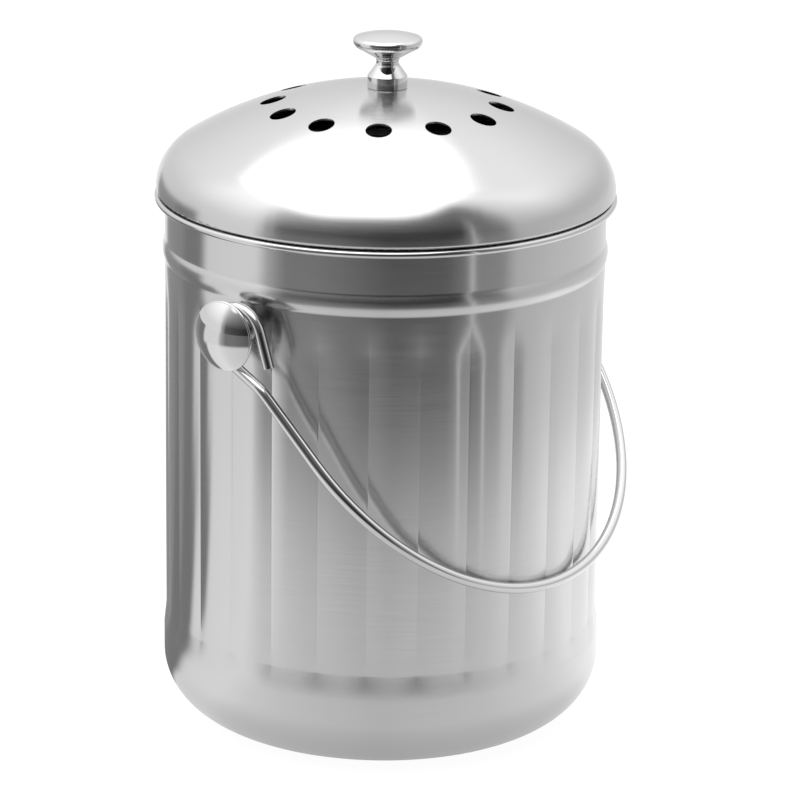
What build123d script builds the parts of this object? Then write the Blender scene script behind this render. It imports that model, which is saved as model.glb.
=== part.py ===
"""Stainless compost caddy: fluted pail, lift-off vented dome lid with a knob, and a wire bail on two studs.

Millimetres, +Z up. The origin is the middle of the base, on the surface that the pail stands on.
The bail swings about a line along X. It is modelled hanging down on the -Y side, against the wall.
"""

from math import acos, asin, atan2, cos, degrees, hypot, radians, sin, sqrt, tan
import os

from build123d import *

# ---- driving dimensions -------------------------------------------------------------------------
# pail: one drawn and rolled sheet
sheet = 0.7  # thickness of the steel sheet
wall_r = 87.4  # outer radius of the wall, and of the flute crests
foot_out = 0.9  # how far the plain band under the flutes stands out from the wall
corner_reach = 26.0  # rounded base corner, measured along the radius
corner_rise = 24.0  # rounded base corner, measured up the wall
base_lift = 1.2  # how far the middle of the base is pressed up
base_ring = 6.0  # width of the flat ring that the pail stands on
base_step = 3.0  # width of the slope between that ring and the raised middle

# flutes: convex panels that meet in sharp vertical creases
flute_count = 28
flute_depth = 0.5  # crease below crest
flute_low = 43.0  # where the flutes have their full depth, from the bottom
flute_length = 129.5  # how long they keep it
flute_fade_low = 9.0  # height over which they fade out at the bottom
flute_fade_high = 13.0  # and at the top
flute_turn = 8.7  # angle of one crease from +X

# swaged ring, neck and rolled rim
ring_lift = 2.6  # from the end of the flutes to the ring
ring_height = 9.2
ring_out = 0.9
ring_blend = 3.0  # radius at the ring's feet
neck_height = 17.6  # from the ring to the top of the rim
rim_out = 4.1  # how far the rim stands out from the wall
curl_r = 1.4  # radius of the curl's section

# lid dome: crown arc and knuckle arc, then an edge turned under
lid_inset = 0.66  # how far inside the rim its edge is
lid_gap = 0.26  # between the turned edge and the rim
crown_r = 155.8
knuckle_r = 20.26
hem_r = 1.75  # radius of the turned edge
vent_count = 12
vent_dia = 10.2
vent_ring_r = 44.95
vent_turn = 4.1  # angle of one vent from +X

# lid skirt: the ring that drops into the mouth
skirt_depth = 12.0
skirt_clear = 0.5  # between the skirt and the inside of the neck
skirt_bend = 1.2  # radius between the skirt and its flange
flange_clear = 0.1  # between the flange's edge and the turned edge that it lies in

# filter holder, a moulded ring with a grid floor
holder_clear = 0.3  # between the holder and the skirt
holder_wall = 2.4
holder_height = 10.0
holder_inset = 1.0  # how far its floor is above the skirt's lower edge
grid_thick = 2.0
grid_spoke = 3.2
grid_spokes = 12
grid_hub_r = 14.0
grid_ring_r = 48.0
grid_ring_w = 3.2
filter_thick = 8.0
filter_chamfer = 1.0
filter_clear = 0.4  # round the filter's edge

# knob: collar, waist, flared underside, rounded edge and low crown
knob_collar_r = 7.9
knob_collar_h = 4.8
knob_collar_blend = 0.8
knob_collar_foot = 0.35  # bevel round the collar's lower edge
knob_waist_h = 4.7  # how far the waist is above the collar
knob_waist_blend = 3.0
knob_neck_r = 4.5
knob_neck_h = 2.2
knob_neck_blend = 1.9
knob_flare = 30.0  # angle of the underside above level
knob_r = 13.7
knob_under_r = 2.85  # radius under the edge
knob_edge_r = 1.6  # and over it
knob_crown_r = 45.0

# screws and washers
thread_dia = 3.5
thread_clear = 0.1
hole_clear = 0.4
head_dia = 7.6
head_height = 2.3
head_round = 1.4
slot_length = 4.6
slot_width = 1.1
slot_depth = 1.2
shank_chamfer = 0.5
washer_dia = 10.0
washer_thick = 0.8
washer_chamfer = 0.16
screw_grip = 6.5  # how far a screw reaches past the sheet
bore_spare = 1.0  # how much deeper its hole is

# bail pivots
pivot_drop = 37.3  # below the top of the rim
stud_r = 4.35  # the shank that the bail turns on
shoulder_r = 5.8  # the shank's thicker root, which keeps the bail off the wall
shoulder_len = 6.1
cap_r = 13.8
cap_edge = 1.2  # thickness of the cap at its rim
cap_dome = 4.5  # how much thicker it is in the middle
cap_gap = 0.35  # between the bail and the cap, and between the bail and the shoulder

# bail: one bent wire
wire_r = 2.15
bail_leg = 46.0  # from the pivot line to the middle of the grip's arc
bail_step = 4.0  # how much smaller the arc's radius is than the reach of the hooks
bail_wall_gap = 0.3  # between the hanging bail and the wall
eye_r = 11.4  # bend radius of the hook's eye, to the middle of the wire
eye_gap = 0.3  # between the hook and the stud, where they are closest
eye_lean = 49.3  # direction of the eye's middle from the pivot, turned from the grip's
kink_reach = 25.4  # from the pivot line to the kink where the hook begins
kink_r = 12.0
tail_len = 14.0
tail_turn = 22.0  # how far the eye goes past half a turn before the straight tail

# ---- sizes worked out from those above ----------------------------------------------------------
foot_r = wall_r + foot_out
flat_end = foot_r - corner_reach
flat_start = flat_end - base_ring
flute_pitch = 360 / flute_count
flute_start = flute_low - flute_fade_low
flute_high = flute_low + flute_length
flute_end = flute_high + flute_fade_high

ring_low = flute_end + ring_lift
ring_high = ring_low + ring_height
ring_turn = 2 * degrees(atan2(2 * ring_out, ring_height))  # steepest slope of its section
ring_r = ring_height / 2 / sin(radians(ring_turn)) - ring_blend
rim_r = wall_r + rim_out
rim_top = ring_high + neck_height
neck_in_r = wall_r - sheet
curl_z = rim_top - curl_r
curl_mid_r = rim_r - curl_r
flare_r = curl_mid_r - neck_in_r  # the bend from the neck out to the curl, on its inside
flare_z = rim_top - flare_r

lid_r = rim_r - lid_inset
hem_z = rim_top + lid_gap
hem_mid_r = lid_r - hem_r
knuckle_z = hem_z + hem_r
knuckle_mid_r = lid_r - knuckle_r
knuckle_rise = sqrt((crown_r - knuckle_r) ** 2 - knuckle_mid_r**2)
crown_end = degrees(atan2(knuckle_rise, knuckle_mid_r))
crown_z = knuckle_z - knuckle_rise
lid_apex = crown_z + crown_r

skirt_r = neck_in_r - skirt_clear
skirt_in_r = skirt_r - sheet
skirt_top = hem_z + 2 * sheet
skirt_low = hem_z - skirt_depth
hem_inner_r = skirt_r + skirt_bend
flange_r = hem_mid_r - flange_clear

holder_r = skirt_in_r - holder_clear
holder_low = skirt_low + holder_inset
filter_low = holder_low + grid_thick

seat_angle = degrees(asin((knob_collar_r - knob_collar_foot) / crown_r))  # of the knob's edge, seen from the crown's centre
seat_z = crown_z + crown_r * cos(radians(seat_angle))
collar_z = seat_z + knob_collar_h
waist_z = collar_z + knob_waist_h
neck_z = waist_z + knob_neck_h
flare_end_r = knob_r - knob_under_r * (1 - sin(radians(knob_flare)))
flare_end_z = neck_z + (flare_end_r - knob_neck_r) * tan(radians(knob_flare))
edge_z = flare_end_z + knob_under_r * cos(radians(knob_flare))
knob_edge_mid_r = knob_r - knob_edge_r
knob_rise = sqrt((knob_crown_r - knob_edge_r) ** 2 - knob_edge_mid_r**2)
knob_crown_end = degrees(atan2(knob_rise, knob_edge_mid_r))
knob_crown_z = edge_z - knob_rise

hole_r = thread_dia / 2 + hole_clear / 2
bore_r = thread_dia / 2 + thread_clear
lid_washer_z = crown_z + sqrt((crown_r - sheet) ** 2 - (washer_dia / 2) ** 2)
washer_x = sqrt((neck_in_r - flute_depth) ** 2 - (washer_dia / 2) ** 2)

pivot_z = rim_top - pivot_drop
shoulder_x = wall_r + shoulder_len
hook_x = shoulder_x + cap_gap + wire_r
cap_x = hook_x + wire_r + cap_gap
cap_face_r = cap_r - cap_edge / 2
cap_sphere_r = (cap_face_r**2 + cap_dome**2) / (2 * cap_dome)
cap_end = cap_x + cap_edge + cap_dome

bail_arc_r = hook_x - bail_step
bail_reach = bail_leg + bail_arc_r  # from the pivot line to the middle of the grip
hang = degrees(acos((wall_r + wire_r + bail_wall_gap) / bail_reach))  # below the horizontal
eye_slack = eye_r - stud_r - wire_r - eye_gap
eye_lag = eye_slack * cos(radians(eye_lean))  # from the pivot to the eye's middle, towards the grip
eye_side = eye_slack * sin(radians(eye_lean))

os.makedirs("parts", exist_ok=True)


def save(builder, name):
    """Labels a finished piece with its node's name and writes it."""
    builder.part.label = name
    export_step(builder.part, f"parts/{name}.step")


# ---- pail body ----------------------------------------------------------------------------------
def polar(r, angle):
    """A point at a radius and an angle from +X."""
    return Vector(r, 0).rotate(Axis.Z, angle)


def flute_section(z, crest, depth):
    """The wall's section at one height: an arc for each flute, with a crease between neighbours."""
    with BuildSketch(Plane.XY.offset(z)) as section:
        with BuildLine():
            for i in range(flute_count):
                crease = flute_turn + i * flute_pitch
                ThreePointArc(
                    polar(crest - depth, crease),
                    polar(crest, crease + flute_pitch / 2),
                    polar(crest - depth, crease + flute_pitch),
                )
        make_face()
    return section.sketch


def fluted_plug(inset, mode):
    """Fills or cuts the fluted length of the pail: round at both ends, creased between."""
    low = flute_section(flute_low, wall_r - inset, flute_depth)
    high = flute_section(flute_high, wall_r - inset, flute_depth)
    loft([low, high], ruled=True, mode=mode)
    loft([low, flute_section(flute_start, foot_r - inset, 0)], ruled=True, mode=mode)
    loft([high, flute_section(flute_end, wall_r - inset, 0)], ruled=True, mode=mode)


with BuildPart() as pail_body:
    # fluted wall
    fluted_plug(0, Mode.ADD)
    fluted_plug(sheet, Mode.SUBTRACT)
    # base and rounded corner, below the flutes
    with BuildSketch(Plane.XZ):
        with BuildLine():
            Polyline(
                (0, base_lift),
                (flat_start - base_step, base_lift),
                (flat_start, 0),
                (flat_end, 0),
            )
            EllipticalCenterArc((flat_end, corner_rise), corner_reach, corner_rise, 270)
            Line((foot_r, corner_rise), (foot_r, flute_start))
            Line((foot_r, flute_start), (foot_r - sheet, flute_start))
            Line((foot_r - sheet, flute_start), (foot_r - sheet, corner_rise))
            EllipticalCenterArc((flat_end, corner_rise), corner_reach - sheet, corner_rise - sheet, 270)
            Polyline(
                (flat_end, sheet),
                (flat_start, sheet),
                (flat_start - base_step, base_lift + sheet),
                (0, base_lift + sheet),
                (0, base_lift),
            )
        make_face()
    revolve(axis=Axis.Z)
    # ring, neck and rolled rim
    with BuildSketch(Plane.XZ):
        for inset in (0, sheet):
            with BuildLine():
                r = wall_r - inset
                Polyline((0, flute_end), (r, flute_end), (r, ring_low))
                foot = JernArc((r, ring_low), (0, 1), ring_blend, -ring_turn)
                bulge = JernArc(foot @ 1, foot % 1, ring_r, 2 * ring_turn)
                JernArc(bulge @ 1, bulge % 1, ring_blend, -ring_turn)
                Polyline((r, ring_high), (r, flare_z), (0, flare_z), (0, flute_end))
            make_face(mode=Mode.SUBTRACT if inset else Mode.ADD)
        with BuildLine():
            CenterArc((curl_mid_r, flare_z), flare_r, 90, 90)
            Line((neck_in_r, flare_z), (wall_r, flare_z))
            CenterArc((curl_mid_r, flare_z), flare_r - sheet, 90, 90)
            Line((curl_mid_r, rim_top - sheet), (curl_mid_r, rim_top))
        make_face()
        with Locations((curl_mid_r, curl_z)):
            Circle(curl_r)
    revolve(axis=Axis.Z)
    # holes for the two stud screws
    with BuildSketch(Plane.YZ.offset(-rim_r)):
        with Locations((0, pivot_z)):
            Circle(hole_r)
    extrude(amount=2 * rim_r, mode=Mode.SUBTRACT)
save(pail_body, "pail_body")

# ---- lid ----------------------------------------------------------------------------------------
with BuildPart() as lid_dome:
    with BuildSketch(Plane.XZ):
        with BuildLine():
            for inset in (0, sheet):
                CenterArc((0, crown_z), crown_r - inset, crown_end, 90 - crown_end)
                CenterArc((knuckle_mid_r, knuckle_z), knuckle_r - inset, 0, crown_end)
                CenterArc((hem_mid_r, knuckle_z), hem_r - inset, 270, 90)
                Line((hem_mid_r, hem_z + inset), (hem_inner_r, hem_z + inset))
            Line((hem_inner_r, hem_z), (hem_inner_r, hem_z + sheet))
            Line((0, lid_apex - sheet), (0, lid_apex))
        make_face()
    revolve(axis=Axis.Z)
    with Locations((0, 0, lid_apex)):
        with PolarLocations(vent_ring_r, vent_count, start_angle=vent_turn):
            Hole(vent_dia / 2)
        Hole(hole_r)
save(lid_dome, "lid_dome")

with BuildPart() as lid_skirt:
    with BuildSketch(Plane.XZ):
        with BuildLine():
            FilletPolyline(
                (skirt_r, skirt_low),
                (skirt_r, skirt_top - sheet),
                (flange_r, skirt_top - sheet),
                radius=skirt_bend,
            )
            Line((flange_r, skirt_top - sheet), (flange_r, skirt_top))
            FilletPolyline(
                (flange_r, skirt_top),
                (skirt_in_r, skirt_top),
                (skirt_in_r, skirt_low),
                radius=skirt_bend + sheet,
            )
            Line((skirt_in_r, skirt_low), (skirt_r, skirt_low))
        make_face()
    revolve(axis=Axis.Z)
save(lid_skirt, "lid_skirt")

with BuildPart() as lid_knob:
    with BuildSketch(Plane.XZ):
        with BuildLine():
            CenterArc((0, crown_z), crown_r, 90 - seat_angle, seat_angle)
            Line((knob_collar_r - knob_collar_foot, seat_z), (knob_collar_r, seat_z + knob_collar_foot))
            FilletPolyline(
                (knob_collar_r, seat_z + knob_collar_foot),
                (knob_collar_r, collar_z),
                (knob_neck_r, waist_z),
                (knob_neck_r, neck_z),
                (flare_end_r, flare_end_z),
                radius=(knob_collar_blend, knob_waist_blend, knob_neck_blend),
            )
            CenterArc((knob_r - knob_under_r, edge_z), knob_under_r, knob_flare - 90, 90 - knob_flare)
            CenterArc((knob_edge_mid_r, edge_z), knob_edge_r, 0, knob_crown_end)
            CenterArc((0, knob_crown_z), knob_crown_r, knob_crown_end, 90 - knob_crown_end)
            Line((0, knob_crown_z + knob_crown_r), (0, lid_apex))
        make_face()
    revolve(axis=Axis.Z)
    with BuildSketch(Plane.XY.offset(lid_apex - sheet)):
        Circle(bore_r)
    extrude(amount=sheet + screw_grip + bore_spare, mode=Mode.SUBTRACT)
save(lid_knob, "lid_knob")


def washer(plane):
    """A flat washer that lies on the given plane, on the side its normal points to."""
    with BuildPart() as ring:
        with BuildSketch(plane):
            Circle(washer_dia / 2)
            Circle(hole_r, mode=Mode.SUBTRACT)
        extrude(amount=washer_thick)
        chamfer(ring.edges().filter_by(GeomType.CIRCLE).group_by(SortBy.RADIUS)[-1], washer_chamfer)
    return ring


def screw(plane, length):
    """A pan-head screw: the head lies on the plane's back, and the shank points along its normal."""
    with BuildPart() as pin:
        with BuildSketch(plane):
            Circle(head_dia / 2)
        extrude(amount=-head_height)
        head_rim = pin.edges().filter_by(GeomType.CIRCLE).group_by(Axis(plane.origin, plane.z_dir))[0]
        fillet(head_rim, head_round)
        with BuildSketch(plane.offset(-head_height)):
            Rectangle(slot_length, slot_width)
            Rectangle(slot_width, slot_length)
        extrude(amount=slot_depth, mode=Mode.SUBTRACT)
        with BuildSketch(plane):
            Circle(thread_dia / 2)
        extrude(amount=length)
        shank_end = pin.edges().filter_by(GeomType.CIRCLE).group_by(Axis(plane.origin, plane.z_dir))[-1]
        chamfer(shank_end, shank_chamfer)
    return pin


knob_seat = Plane((0, 0, lid_washer_z), z_dir=(0, 0, -1))
save(washer(knob_seat), "knob_washer")
lid_screw_len = lid_apex - lid_washer_z + washer_thick + screw_grip
save(screw(Plane.XY.offset(lid_washer_z - washer_thick), lid_screw_len), "knob_screw")

with BuildPart() as filter_holder:
    with BuildSketch(Plane.XY.offset(holder_low)):
        Circle(holder_r)
        Circle(holder_r - holder_wall, mode=Mode.SUBTRACT)
    extrude(amount=holder_height)
    with BuildSketch(Plane.XY.offset(holder_low)):
        Circle(grid_ring_r + grid_ring_w / 2)
        Circle(grid_ring_r - grid_ring_w / 2, mode=Mode.SUBTRACT)
        Circle(grid_hub_r)
        Circle(grid_hub_r - grid_spoke, mode=Mode.SUBTRACT)
        spoke_len = holder_r - holder_wall / 2 - grid_hub_r + grid_spoke / 2
        with PolarLocations(grid_hub_r - grid_spoke / 2 + spoke_len / 2, grid_spokes):
            Rectangle(spoke_len, grid_spoke)
    extrude(amount=grid_thick)
save(filter_holder, "filter_holder")

with BuildPart() as charcoal_filter:
    with BuildSketch(Plane.XY.offset(filter_low)):
        Circle(holder_r - holder_wall - filter_clear)
    extrude(amount=filter_thick)
    chamfer(charcoal_filter.edges().group_by(Axis.Z)[-1], filter_chamfer)
save(charcoal_filter, "charcoal_filter")

# ---- bail pivots --------------------------------------------------------------------------------
pivot_line = Axis((0, 0, pivot_z), (1, 0, 0))

for side, name in ((-1, "left"), (1, "right")):
    outward = (side, 0, 0)
    across = Plane((0, 0, pivot_z), x_dir=outward, z_dir=(0, -side, 0))  # x is outward, y is up
    with BuildPart() as stud:
        with BuildSketch(across):
            with BuildLine():
                Polyline(
                    (wall_r, 0),
                    (wall_r, shoulder_r),
                    (shoulder_x, shoulder_r),
                    (shoulder_x, stud_r),
                    (cap_x, stud_r),
                    (cap_x, cap_face_r),
                )
                ThreePointArc(
                    (cap_x, cap_face_r),
                    (cap_x + cap_edge / 2, cap_r),
                    (cap_x + cap_edge, cap_face_r),
                )
                RadiusArc((cap_x + cap_edge, cap_face_r), (cap_end, 0), cap_sphere_r)
                Line((cap_end, 0), (wall_r, 0))
            make_face()
        revolve(axis=pivot_line)
        with BuildSketch(Plane((side * wall_r, 0, pivot_z), z_dir=outward)):
            Circle(bore_r)
        extrude(amount=screw_grip + bore_spare, mode=Mode.SUBTRACT)
    save(stud, f"{name}_pivot_stud")
    seat = Plane((side * washer_x, 0, pivot_z), z_dir=(-side, 0, 0))
    save(washer(seat), f"{name}_pivot_washer")
    head_x = washer_x - washer_thick
    bearing = Plane((side * head_x, 0, pivot_z), z_dir=outward)
    save(screw(bearing, wall_r - head_x + screw_grip), f"{name}_pivot_screw")

# ---- bail handle --------------------------------------------------------------------------------
# The bail's own axes: x across the pail, y from the pivot line to the grip, z square to both.
bail_plane = Plane(
    (0, 0, pivot_z),
    x_dir=(1, 0, 0),
    z_dir=(0, sin(radians(hang)), -cos(radians(hang))),
)


def on_bail(x, y, z=0):
    """A point in the bail's own axes, as a place in the part."""
    return bail_plane.from_local_coords(Vector(x, y, z))


def on_eye(turn, r=eye_r):
    """The point of the eye's circle at an angle, 0 being towards the grip and 90 square to it."""
    return on_bail(
        -hook_x,
        eye_lag + r * cos(radians(turn)),
        -eye_side + r * sin(radians(turn)),
    )


def on_arc(turn):
    """The point of the grip's arc at an angle, 90 being the middle of the grip."""
    return on_bail(
        bail_arc_r * cos(radians(turn)),
        arc_mid + bail_arc_r * sin(radians(turn)),
    )


# the arm runs from the kink to the grip's arc as a tangent
arc_mid = bail_reach - bail_arc_r
kink_drop = arc_mid - kink_reach
arm_turn = degrees(acos(bail_arc_r / hypot(hook_x, kink_drop)))
arm_end = 180 + degrees(atan2(kink_drop, hook_x)) - arm_turn
# and from the kink to the eye as another
kink_away = kink_reach - eye_lag
eye_start = degrees(atan2(eye_side, kink_away) + acos(eye_r / hypot(kink_away, eye_side)))
eye_stop = 270 + tail_turn
tail_end = on_eye(eye_stop + degrees(atan2(tail_len, eye_r)), hypot(tail_len, eye_r))

with BuildPart() as bail_handle:
    with BuildLine() as bail_line:
        Line(tail_end, on_eye(eye_stop))
        ThreePointArc(on_eye(eye_stop), on_eye((eye_start + eye_stop) / 2), on_eye(eye_start))
        FilletPolyline(
            on_eye(eye_start),
            on_bail(-hook_x, kink_reach),
            on_arc(arm_end),
            radius=kink_r,
        )
        ThreePointArc(on_arc(arm_end), on_arc((arm_end + 90) / 2), on_arc(90))
    with BuildSketch(Plane(bail_line.line @ 0, z_dir=bail_line.line % 0)):
        Circle(wire_r)
    sweep()
    mirror(about=Plane.YZ)
save(bail_handle, "bail_handle")
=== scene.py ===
import math

import bpy
from mathutils import Matrix, Vector


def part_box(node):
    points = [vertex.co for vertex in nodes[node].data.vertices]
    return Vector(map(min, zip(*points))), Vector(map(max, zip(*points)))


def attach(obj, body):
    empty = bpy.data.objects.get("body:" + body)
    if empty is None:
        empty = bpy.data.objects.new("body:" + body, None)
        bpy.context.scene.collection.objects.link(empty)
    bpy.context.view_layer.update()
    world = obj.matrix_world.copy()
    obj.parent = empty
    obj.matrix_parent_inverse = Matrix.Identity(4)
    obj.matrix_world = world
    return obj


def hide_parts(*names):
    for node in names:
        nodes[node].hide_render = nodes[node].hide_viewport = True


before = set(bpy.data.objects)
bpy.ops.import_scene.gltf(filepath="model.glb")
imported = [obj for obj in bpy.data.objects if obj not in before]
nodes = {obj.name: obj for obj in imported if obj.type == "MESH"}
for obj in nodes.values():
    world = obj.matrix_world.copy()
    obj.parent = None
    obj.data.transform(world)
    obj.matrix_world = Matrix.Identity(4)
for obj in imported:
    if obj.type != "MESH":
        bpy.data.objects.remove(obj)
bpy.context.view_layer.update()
print("frame loaded:", len(nodes), "nodes")


# one steel compost caddy in a white studio; metres, +Z up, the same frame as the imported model
def hexColour(text):  # sRGB hex to Blender's linear values
    parts = [int(text[i:i + 2], 16) / 255 for i in (1, 3, 5)]
    return [p / 12.92 if p <= 0.04045 else ((p + 0.055) / 1.055) ** 2.4 for p in parts] + [1]


def addNode(tree, kind, values=None, **settings):
    # values holds the inputs by name or number: a socket is linked, anything else is set
    node = tree.nodes.new(kind)
    for name, value in settings.items():
        setattr(node, name, value)
    for key, value in (values or {}).items():
        if isinstance(value, bpy.types.NodeSocket):
            tree.links.new(value, node.inputs[key])
        else:
            node.inputs[key].default_value = value
    return node


# camera
camera = {
    "lens": 179.126,  # millimetres
    "sensor": 36.0,  # its width, millimetres
    "farthest": 10.0,  # metres it can see
    "distance": 1.52451,  # metres from the pail's axis
    "height": 0.613962,  # metres above the table
    "azimuth": 218.0,  # degrees from +X, where the camera stands
    "yaw": 0.251,  # degrees off the pail's axis
    "pitch": -17.677,
    "roll": 0.789,
}


def addCamera(c):
    yaw, pitch, roll = (math.radians(c[k]) for k in ("yaw", "pitch", "roll"))
    ahead = Vector((math.sin(yaw) * math.cos(pitch), math.cos(yaw) * math.cos(pitch), math.sin(pitch)))
    level = Vector((math.cos(yaw), -math.sin(yaw), 0))
    above = level.cross(ahead)
    right = level * math.cos(roll) + above * math.sin(roll)
    up = above * math.cos(roll) - level * math.sin(roll)
    turn = Matrix.Rotation(math.radians(c["azimuth"] + 90), 3, "Z")
    place = turn @ Vector((0, -c["distance"], c["height"]))
    right, up, back = turn @ right, turn @ up, turn @ -ahead
    bpy.ops.object.camera_add()
    cam = bpy.context.object
    cam.data.lens = c["lens"]
    cam.data.sensor_width = c["sensor"]
    cam.data.clip_end = c["farthest"]
    cam.matrix_world = Matrix((
        (right.x, up.x, back.x, place.x),
        (right.y, up.y, back.y, place.y),
        (right.z, up.z, back.z, place.z),
        (0, 0, 0, 1),
    ))
    bpy.context.scene.camera = cam


addCamera(camera)
print("camera placed")


# studio: what the metal reflects, as brightness by direction
# the lists below count degrees to the right of the camera's side, where 0 is straight at the camera
studio = {
    "low": [  # at eye level
        (-180, 0.50), (-120, 0.58), (-66, 0.62), (-60, 0.30), (-52, 0.08), (-40, 0.06), (0, 0.01),
        (38, 0.02), (42, 0.09), (42.6, 0.60), (43.8, 0.60), (44.4, 0.12), (60, 0.15), (68, 0.40),
        (120, 0.44), (180, 0.50),
    ],
    "high": [  # and 45 degrees up
        (-180, 0.78), (-130, 0.80), (-108, 0.98), (-74, 1.0), (-58, 0.56), (-40, 0.33), (-20, 0.21),
        (8, 0.16), (28, 0.13), (42, 0.11), (54, 0.16), (70, 0.64), (100, 0.90), (130, 0.80), (180, 0.78),
    ],
    "lowTo": 8.0,  # degrees up, where the first list begins to give way
    "highFrom": 45.0,  # and where the second has taken over
    "softBox": 1.4,  # brightness of the soft box overhead
    "softBoxLean": 0.25,  # its front hangs lower by this slope
    "softBoxMiddle": (0.19, 0.22),  # how far back and to the left, for a box one unit up
    "softBoxHalf": (0.975, 0.58),  # half its depth and half its width
    "softBoxEdge": 0.13,  # how soft its border is, as a share of its size
    "gain": 1.6,  # steel gives back about two thirds of what it sees
}


def brightnessAround(tree, place, levels):  # a ring of brightness by compass direction
    part = addNode(tree, "ShaderNodeSeparateXYZ", {0: place})
    turn = addNode(tree, "ShaderNodeMath", {0: part.outputs["Y"], 1: part.outputs["X"]}, operation="ARCTAN2")
    share = addNode(tree, "ShaderNodeMath", {0: turn.outputs[0], 1: 0.5 / math.pi,
                                             2: 1.5 - camera["azimuth"] / 360}, operation="MULTIPLY_ADD")
    wrapped = addNode(tree, "ShaderNodeMath", {0: share.outputs[0]}, operation="FRACT")
    ramp = addNode(tree, "ShaderNodeValToRGB", {0: wrapped.outputs[0]})
    stops = ramp.color_ramp.elements
    while len(stops) < len(levels):
        stops.new(0.5)
    for stop, (angle, level) in zip(stops, levels):
        stop.position = angle / 360 + 0.5
        stop.color = (level, level, level, 1)
    return ramp.outputs[0]


def addStudio(s):
    world = bpy.data.worlds.new("studio")
    bpy.context.scene.world = world
    world.use_nodes = True
    tree = world.node_tree
    tree.nodes.clear()
    place = addNode(tree, "ShaderNodeTexCoord").outputs["Generated"]
    part = addNode(tree, "ShaderNodeSeparateXYZ", {0: place})
    low = brightnessAround(tree, place, s["low"])
    high = brightnessAround(tree, place, s["high"])
    rise = addNode(tree, "ShaderNodeMapRange", {0: part.outputs["Z"],
                                                1: math.sin(math.radians(s["lowTo"])),
                                                2: math.sin(math.radians(s["highFrom"]))})
    walls = addNode(tree, "ShaderNodeMix", {0: rise.outputs[0], 6: low, 7: high}, data_type="RGBA")
    # where a direction meets the box: x towards the camera's side, y to the right of it
    turned = addNode(tree, "ShaderNodeVectorRotate", {0: place, "Angle": -math.radians(camera["azimuth"])},
                     rotation_type="Z_AXIS")
    depth = addNode(tree, "ShaderNodeVectorMath", {0: turned.outputs[0], 1: (s["softBoxLean"], 0, 1)},
                    operation="DOT_PRODUCT")
    slope = addNode(tree, "ShaderNodeVectorMath", {0: turned.outputs[0], 1: depth.outputs["Value"]},
                    operation="DIVIDE")
    toMiddle = addNode(tree, "ShaderNodeVectorMath", {0: slope.outputs[0], 1: s["softBoxMiddle"] + (1,)},
                       operation="ADD")
    flatBox = s["softBoxHalf"] + (1e6,)  # the last number takes the height out of the measure
    across = addNode(tree, "ShaderNodeVectorMath", {0: toMiddle.outputs[0], 1: flatBox}, operation="DIVIDE")
    # squared once more, so that the box's outline lies between an ellipse and a rectangle
    squared = addNode(tree, "ShaderNodeVectorMath", {0: across.outputs[0], 1: across.outputs[0]},
                      operation="MULTIPLY")
    reach = addNode(tree, "ShaderNodeVectorMath", {0: squared.outputs[0]}, operation="LENGTH")
    box = addNode(tree, "ShaderNodeMapRange", {0: reach.outputs["Value"], 1: (1 + s["softBoxEdge"]) ** 2,
                                               2: (1 - s["softBoxEdge"]) ** 2},
                  interpolation_type="SMOOTHSTEP")
    shine = (s["softBox"],) * 3 + (1,)
    room = addNode(tree, "ShaderNodeMix", {0: box.outputs[0], 6: walls.outputs[2], 7: shine},
                   data_type="RGBA")
    seen = addNode(tree, "ShaderNodeBackground", {0: room.outputs[2], 1: s["gain"]})
    white = addNode(tree, "ShaderNodeBackground", {0: (1, 1, 1, 1), 1: 1.0})
    path = addNode(tree, "ShaderNodeLightPath")
    mix = addNode(tree, "ShaderNodeMixShader", {0: path.outputs["Is Camera Ray"], 1: seen.outputs[0],
                                                2: white.outputs[0]})
    addNode(tree, "ShaderNodeOutputWorld", {0: mix.outputs[0]})


addStudio(studio)
bpy.context.scene.view_settings.view_transform = "Standard"
print("studio lit")


# floor: a white table; what the metal sees in it is painted light, a glow by direction that is darker beyond
# a painted edge, where it stands in for the room
table = {
    "size": 6.0,  # metres
    "near": [  # painted glow beside the pail, seen only in the metal
        (-180, 0.64), (-158, 0.62), (-152, 0.22), (-126, 0.20), (-120, 0.15), (-98, 0.15), (-92, 0.62),
        (-66, 0.66), (-50, 0.57), (-30, 0.52), (0, 0.46), (40, 0.51), (70, 0.60), (97, 0.75), (140, 0.72),
        (180, 0.64),
    ],
    "far": [  # and beyond the painted edge, darker, standing in for the room
        (-180, 0.60), (-156, 0.60), (-150, 0.22), (-126, 0.20), (-120, 0.15), (-106, 0.15), (-100, 0.58),
        (-66, 0.60), (-60, 0.32), (-50, 0.15), (-36, 0.15), (-20, 0.12), (4, 0.06), (30, 0.07), (42, 0.15),
        (42.6, 0.60), (43.8, 0.60), (44.4, 0.18), (60, 0.20), (68, 0.38), (97, 0.46), (120, 0.50),
        (180, 0.60),
    ],
    "nearTo": 0.38,  # metres from the pail's axis
    "farFrom": 0.50,
    "paintedShadowLevel": 0.75,  # painted contact shadow: how much of the glow is left against the pail
    "paintedShadowFull": 0.07,  # metres from the axis, where the painted shadow is full
    "paintedShadowGone": 0.13,  # and where it has gone
    "paper": "#606060",  # what takes the light that falls on it
    "glow": 0.94,  # how white the table looks to the camera without the light that falls on it
}


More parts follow.
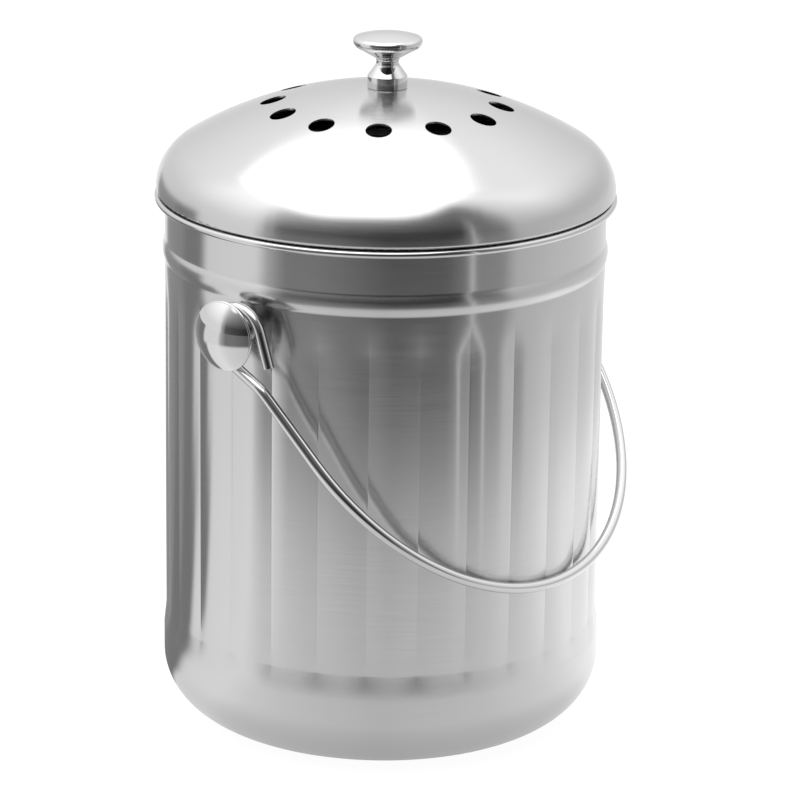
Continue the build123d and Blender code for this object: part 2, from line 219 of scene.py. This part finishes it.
def addTable(t):
    bpy.ops.mesh.primitive_plane_add(size=t["size"], location=(0, 0, 0))
    floor = bpy.context.object
    floor.name = "tableTop"
    m = bpy.data.materials.new("whiteTable")
    m.use_nodes = True
    tree = m.node_tree
    tree.nodes.clear()
    place = addNode(tree, "ShaderNodeTexCoord").outputs["Object"]
    away = addNode(tree, "ShaderNodeVectorMath", {0: place}, operation="LENGTH")
    # the painted edge: the glow changes from the near list to the far one between these distances
    fall = addNode(tree, "ShaderNodeMapRange", {0: away.outputs["Value"], 1: t["nearTo"], 2: t["farFrom"]},
                   interpolation_type="SMOOTHSTEP")
    near = brightnessAround(tree, place, t["near"])
    far = brightnessAround(tree, place, t["far"])
    level = addNode(tree, "ShaderNodeMix", {0: fall.outputs[0], 6: near, 7: far}, data_type="RGBA")
    # painted contact shadow: the table's glow dims towards the pail's foot
    shade = addNode(tree, "ShaderNodeMapRange", {0: away.outputs["Value"], 1: t["paintedShadowFull"],
                                                 2: t["paintedShadowGone"], 3: t["paintedShadowLevel"] * studio["gain"],
                                                 4: studio["gain"]})
    # the table glows for the rays the metal reflects: painted light and shade, not light that falls on it
    paintedTableGlow = addNode(tree, "ShaderNodeEmission", {0: level.outputs[2], 1: shade.outputs[0]})
    paper = addNode(tree, "ShaderNodeBsdfDiffuse", {0: hexColour(t["paper"])})
    glow = addNode(tree, "ShaderNodeEmission", {0: (1, 1, 1, 1), 1: t["glow"]})
    plain = addNode(tree, "ShaderNodeAddShader", {0: paper.outputs[0], 1: glow.outputs[0]})
    path = addNode(tree, "ShaderNodeLightPath")
    mix = addNode(tree, "ShaderNodeMixShader", {0: path.outputs["Is Camera Ray"], 1: paintedTableGlow.outputs[0],
                                                2: plain.outputs[0]})
    addNode(tree, "ShaderNodeOutputMaterial", {0: mix.outputs[0]})
    floor.data.materials.append(m)


addTable(table)
print("table set")


# materials
def newMaterial(name):
    m = bpy.data.materials.new(name)
    m.use_nodes = True
    tree = m.node_tree
    return m, tree, tree.nodes["Principled BSDF"]


steelFinish = {
    "colour": "#cdcdcd",
    "roughness": 0.19,
    "uneven": 0.03,  # how much the roughness varies from line to line
    "anisotropy": 0.85,
    "lineWidth": 0.45,  # mm, coarser than real hairlines so that they show
    "lineLength": 26.0,  # mm
    "lineDepth": 0.0008,  # mm
    "lineSpread": (0.25, 0.75),  # the part of the noise that is used
    "beadRoughness": 0.07,
    "beadHeight": 0.0034,  # the rolled rim is polished down to here from its top, in metres
    "beadEdge": 0.0006,  # over this height
}

# the flutes are in the solid: this only fills each panel a little and crispens each crease, in metres
fluteFinish = {
    "count": 28,
    "turn": 8.7,  # degrees from +X to one crease
    "low": 0.060,  # full effect from here
    "high": 0.1665,  # up to here
    "fade": 0.017,  # and gone this far past either
    "fullness": 0.00017,
    "crease": 0.00003,
    "creaseShare": 0.07,  # of half a panel
    "softAt": (0.0375, 0.1740),  # the press leaves a soft bend at both ends of the flutes
    "softReach": 0.011,
    "softFull": 0.7,  # the share of that reach with the whole radius
    "softRadius": 0.007,
}


def softBend(tree, height, f):  # rounds the shading normal round the ends of the flutes
    off = []
    for at in f["softAt"]:
        away = addNode(tree, "ShaderNodeMath", {0: height, 1: at}, operation="SUBTRACT")
        off.append(addNode(tree, "ShaderNodeMath", {0: away.outputs[0]}, operation="ABSOLUTE").outputs[0])
    nearest = addNode(tree, "ShaderNodeMath", {0: off[0], 1: off[1]}, operation="MINIMUM")
    radius = addNode(tree, "ShaderNodeMapRange", {0: nearest.outputs[0], 1: f["softReach"] * f["softFull"],
                                                  2: f["softReach"], 3: f["softRadius"], 4: 0.0})
    return addNode(tree, "ShaderNodeBevel", {"Radius": radius.outputs[0]}, samples=8).outputs[0]


def fluteNormal(tree, part, f):  # part holds the point's X, Y and Z
    turn = addNode(tree, "ShaderNodeMath", {0: part.outputs["Y"], 1: part.outputs["X"]}, operation="ARCTAN2")
    panel = addNode(tree, "ShaderNodeMath", {0: turn.outputs[0], 1: f["count"] / math.tau,
                                             2: f["count"] * (1 - f["turn"] / 360)}, operation="MULTIPLY_ADD")
    share = addNode(tree, "ShaderNodeMath", {0: panel.outputs[0]}, operation="FRACT")
    middle = addNode(tree, "ShaderNodeMath", {0: share.outputs[0], 1: 2.0, 2: -1.0}, operation="MULTIPLY_ADD")
    off = addNode(tree, "ShaderNodeMath", {0: middle.outputs[0]}, operation="ABSOLUTE")
    arch = addNode(tree, "ShaderNodeMath", {0: off.outputs[0], 1: 2.0}, operation="POWER")
    full = addNode(tree, "ShaderNodeMath", {0: arch.outputs[0], 1: -f["fullness"]}, operation="MULTIPLY")
    crease = addNode(tree, "ShaderNodeMapRange", {0: off.outputs[0], 1: 1 - f["creaseShare"], 2: 1.0,
                                                  3: 0.0, 4: -f["crease"]}, interpolation_type="SMOOTHSTEP")
    press = addNode(tree, "ShaderNodeMath", {0: full.outputs[0], 1: crease.outputs[0]}, operation="ADD")
    low = addNode(tree, "ShaderNodeMapRange", {0: part.outputs["Z"], 1: f["low"] - f["fade"], 2: f["low"]},
                  interpolation_type="SMOOTHSTEP")
    high = addNode(tree, "ShaderNodeMapRange", {0: part.outputs["Z"], 1: f["high"] + f["fade"], 2: f["high"]},
                   interpolation_type="SMOOTHSTEP")
    fade = addNode(tree, "ShaderNodeMath", {0: low.outputs[0], 1: high.outputs[0]}, operation="MULTIPLY")
    height = addNode(tree, "ShaderNodeMath", {0: press.outputs[0], 1: fade.outputs[0]}, operation="MULTIPLY")
    return addNode(tree, "ShaderNodeBump", {"Strength": 1.0, "Distance": 1.0, "Height": height.outputs[0],
                                            "Normal": softBend(tree, part.outputs["Z"], f)}).outputs[0]


# 18/8 stainless sheet, satin-brushed on a spinning form: hairlines run round it and smear reflections upwards
def brushedStainless(name, f, polishedFrom=None, flutes=None):
    m, tree, shader = newMaterial(name)
    place = addNode(tree, "ShaderNodeTexCoord").outputs["Object"]
    part = addNode(tree, "ShaderNodeSeparateXYZ", {0: place})
    flat = addNode(tree, "ShaderNodeCombineXYZ", {0: part.outputs["X"], 1: part.outputs["Y"], 2: 0.0})
    radius = addNode(tree, "ShaderNodeVectorMath", {0: flat.outputs[0]}, operation="LENGTH")
    along = addNode(tree, "ShaderNodeMath", {0: part.outputs["Z"], 1: radius.outputs["Value"]},
                    operation="SUBTRACT")
    fine = 1000 / f["lineWidth"]
    coarse = 1000 / f["lineLength"]
    dim, bright = f["lineSpread"]
    stretched = addNode(tree, "ShaderNodeVectorMath", {0: flat.outputs[0], 1: (coarse, coarse, 0)},
                        operation="MULTIPLY")
    lineRow = addNode(tree, "ShaderNodeMath", {0: along.outputs[0], 1: fine}, operation="MULTIPLY")
    row = addNode(tree, "ShaderNodeCombineXYZ", {2: lineRow.outputs[0]})
    spot = addNode(tree, "ShaderNodeVectorMath", {0: stretched.outputs[0], 1: row.outputs[0]},
                   operation="ADD")
    lines = addNode(tree, "ShaderNodeTexNoise", {0: spot.outputs[0], "Scale": 1.0, "Detail": 3.0,
                                                 "Roughness": 0.6})
    rough = addNode(tree, "ShaderNodeMapRange", {0: lines.outputs[0], 1: dim, 2: bright,
                                                 3: f["roughness"] - f["uneven"],
                                                 4: f["roughness"] + f["uneven"]})
    roughness = rough.outputs[0]
    if polishedFrom:
        polished = addNode(tree, "ShaderNodeMapRange", {0: part.outputs["Z"], 1: polishedFrom - f["beadEdge"],
                                                        2: polishedFrom})
        shine = addNode(tree, "ShaderNodeMix", {0: polished.outputs[0], 2: roughness, 3: f["beadRoughness"]})
        roughness = shine.outputs[0]
    tree.links.new(roughness, shader.inputs["Roughness"])
    shader.inputs["Base Color"].default_value = hexColour(f["colour"])
    shader.inputs["Metallic"].default_value = 1.0
    shader.inputs["Anisotropic"].default_value = f["anisotropy"]
    bump = addNode(tree, "ShaderNodeBump", {"Strength": 1.0, "Distance": f["lineDepth"] / 1000,
                                            "Height": lines.outputs[0]})
    if flutes:
        tree.links.new(fluteNormal(tree, part, flutes), bump.inputs["Normal"])
    tree.links.new(bump.outputs[0], shader.inputs["Normal"])
    # the direction across the hairlines: up the wall, and outwards over the dome
    around = addNode(tree, "ShaderNodeVectorMath", {0: (0, 0, 1), 1: place}, operation="CROSS_PRODUCT")
    normal = addNode(tree, "ShaderNodeNewGeometry").outputs["Normal"]
    across = addNode(tree, "ShaderNodeVectorMath", {0: around.outputs[0], 1: normal},
                     operation="CROSS_PRODUCT")
    tree.links.new(across.outputs[0], shader.inputs["Tangent"])
    return m


chromeFinish = {
    "colour": "#d4d4d4",
    "roughness": 0.03,
    "smudge": 0.03,  # added to it where a finger has been
    "smudgeSize": 9.0,  # mm
    "smudgeSpread": (0.4, 0.7),
}


# decorative chrome plate, polished: a near mirror, with faint finger smudges
def chromePlate(name, f):
    m, tree, shader = newMaterial(name)
    place = addNode(tree, "ShaderNodeTexCoord").outputs["Object"]
    smudge = addNode(tree, "ShaderNodeTexNoise", {0: place, "Scale": 1000 / f["smudgeSize"], "Detail": 2.0})
    clean, touched = f["smudgeSpread"]
    rough = addNode(tree, "ShaderNodeMapRange", {0: smudge.outputs[0], 1: clean, 2: touched,
                                                 3: f["roughness"], 4: f["roughness"] + f["smudge"]})
    tree.links.new(rough.outputs[0], shader.inputs["Roughness"])
    shader.inputs["Base Color"].default_value = hexColour(f["colour"])
    shader.inputs["Metallic"].default_value = 1.0
    return m


turnedFinish = {
    "colour": "#b6b5b2",
    "grain": 5 / 6,  # mm, coarser than the real one so that it shows
    "grainDepth": 0.01,  # mm
    "spread": (0.3, 0.7),
    "roughness": (0.24, 0.38),
}


# plain stainless, turned and tumbled: greyer and duller than the plate, with a fine even grain
def turnedStainless(name, f):
    m, tree, shader = newMaterial(name)
    place = addNode(tree, "ShaderNodeTexCoord").outputs["Object"]
    grain = addNode(tree, "ShaderNodeTexNoise", {0: place, "Scale": 1000 / f["grain"], "Detail": 3.0})
    dim, bright = f["spread"]
    smooth, dull = f["roughness"]
    rough = addNode(tree, "ShaderNodeMapRange", {0: grain.outputs[0], 1: dim, 2: bright, 3: smooth, 4: dull})
    tree.links.new(rough.outputs[0], shader.inputs["Roughness"])
    bump = addNode(tree, "ShaderNodeBump", {"Strength": 0.5, "Distance": f["grainDepth"] / 1000,
                                            "Height": grain.outputs[0]})
    tree.links.new(bump.outputs[0], shader.inputs["Normal"])
    shader.inputs["Base Color"].default_value = hexColour(f["colour"])
    shader.inputs["Metallic"].default_value = 1.0
    return m


plasticFinish = {
    "colour": "#141414",
    "roughness": 0.45,
    "grain": 0.625,  # mm
    "grainDepth": 0.03,  # mm
}


# polypropylene, injection moulded: near black, with a fine spark-eroded grain
def mouldedPlastic(name, f):
    m, tree, shader = newMaterial(name)
    place = addNode(tree, "ShaderNodeTexCoord").outputs["Object"]
    grain = addNode(tree, "ShaderNodeTexNoise", {0: place, "Scale": 1000 / f["grain"], "Detail": 2.0})
    bump = addNode(tree, "ShaderNodeBump", {"Strength": 0.4, "Distance": f["grainDepth"] / 1000,
                                            "Height": grain.outputs[0]})
    tree.links.new(bump.outputs[0], shader.inputs["Normal"])
    shader.inputs["Base Color"].default_value = hexColour(f["colour"])
    shader.inputs["Roughness"].default_value = f["roughness"]
    return m


feltFinish = {
    "dark": "#050505",
    "light": "#1b1b1b",
    "roughness": 0.95,
    "fibre": 10 / 9,  # mm
    "fibreDepth": 0.3,  # mm
    "tangle": 2.0,
}


# needled polyester felt loaded with carbon: matt black, with stray grey fibres
def carbonFelt(name, f):
    m, tree, shader = newMaterial(name)
    place = addNode(tree, "ShaderNodeTexCoord").outputs["Object"]
    fibre = addNode(tree, "ShaderNodeTexNoise", {0: place, "Scale": 1000 / f["fibre"], "Detail": 6.0,
                                                 "Distortion": f["tangle"]})
    tint = addNode(tree, "ShaderNodeValToRGB", {0: fibre.outputs[0]})
    tint.color_ramp.elements[0].color = hexColour(f["dark"])
    tint.color_ramp.elements[1].color = hexColour(f["light"])
    tree.links.new(tint.outputs[0], shader.inputs["Base Color"])
    bump = addNode(tree, "ShaderNodeBump", {"Strength": 0.8, "Distance": f["fibreDepth"] / 1000,
                                            "Height": fibre.outputs[0]})
    tree.links.new(bump.outputs[0], shader.inputs["Normal"])
    shader.inputs["Roughness"].default_value = f["roughness"]
    return m


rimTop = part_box("pail_body")[1][2]
beadFoot = rimTop - steelFinish["beadHeight"]
pailSteel = brushedStainless("brushedStainlessPail", steelFinish, polishedFrom=beadFoot, flutes=fluteFinish)
lidSteel = brushedStainless("brushedStainlessLid", steelFinish)
chrome = chromePlate("polishedChrome", chromeFinish)
fastener = turnedStainless("turnedStainless", turnedFinish)
felt = carbonFelt("carbonFelt", feltFinish)
finishes = {
    "pail_body": pailSteel,
    "lid_dome": lidSteel,
    "lid_skirt": lidSteel,
    "filter_holder": mouldedPlastic("blackPolypropylene", plasticFinish),
    "charcoal_filter": felt,
    "knob_screw": fastener,
    "knob_washer": fastener,
    "left_pivot_screw": fastener,
    "left_pivot_washer": fastener,
    "right_pivot_screw": fastener,
    "right_pivot_washer": fastener,
}
for name, piece in nodes.items():
    piece.data.materials.clear()
    piece.data.materials.append(finishes.get(name, chrome))
print("materials on")


# the filter: a round of needled felt that lies in the holder
feltPad = {
    "sides": 128,
    "rings": 14,  # steps from the edge to the middle
    "edge": 0.0012,  # metres that the cut edge is rounded
    "edgeSteps": 4,
    "uneven": 0.00022,  # metres that the needling lifts or sinks a point
    "seed": 7,
}


def addFeltPad(f):
    low, high = (Vector(c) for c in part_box("charcoal_filter"))
    middle = (low + high) / 2
    margin = f["uneven"]
    radius = (high.x - low.x) / 2 - margin
    bpy.ops.mesh.primitive_cylinder_add(vertices=f["sides"], radius=radius, depth=high.z - low.z - 2 * margin,
                                        end_fill_type="NGON", location=middle)
    pad = bpy.context.object
    pad.name = "feltPad"
    bpy.ops.object.transform_apply(location=True, rotation=True, scale=True)
    bpy.ops.object.mode_set(mode="EDIT")
    bpy.ops.mesh.select_mode(type="FACE")
    bpy.ops.mesh.select_all(action="DESELECT")
    bpy.ops.object.mode_set(mode="OBJECT")
    for face in pad.data.polygons:
        face.select = abs(face.normal.z) > 0.9  # the top and the bottom
    bpy.ops.object.mode_set(mode="EDIT")
    bpy.ops.mesh.bevel(offset=f["edge"], segments=f["edgeSteps"], affect="EDGES")
    bpy.ops.object.mode_set(mode="OBJECT")
    for face in pad.data.polygons:
        face.select = abs(face.normal.z) > 0.999  # the same two, without the rounded edge
    bpy.ops.object.mode_set(mode="EDIT")
    for step in range(f["rings"]):
        bpy.ops.mesh.inset(thickness=(radius - f["edge"]) / (f["rings"] + 1), depth=0, use_individual=False)
    bpy.ops.mesh.select_all(action="SELECT")
    bpy.ops.transform.vertex_random(offset=f["uneven"], uniform=0.0, normal=1.0, seed=f["seed"])
    bpy.ops.mesh.normals_make_consistent(inside=False)
    bpy.ops.object.mode_set(mode="OBJECT")
    bpy.ops.object.shade_smooth()
    pad.data.materials.append(felt)
    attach(pad, "filter")
    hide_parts("charcoal_filter")
    return pad


addFeltPad(feltPad)
print("felt pad laid in")
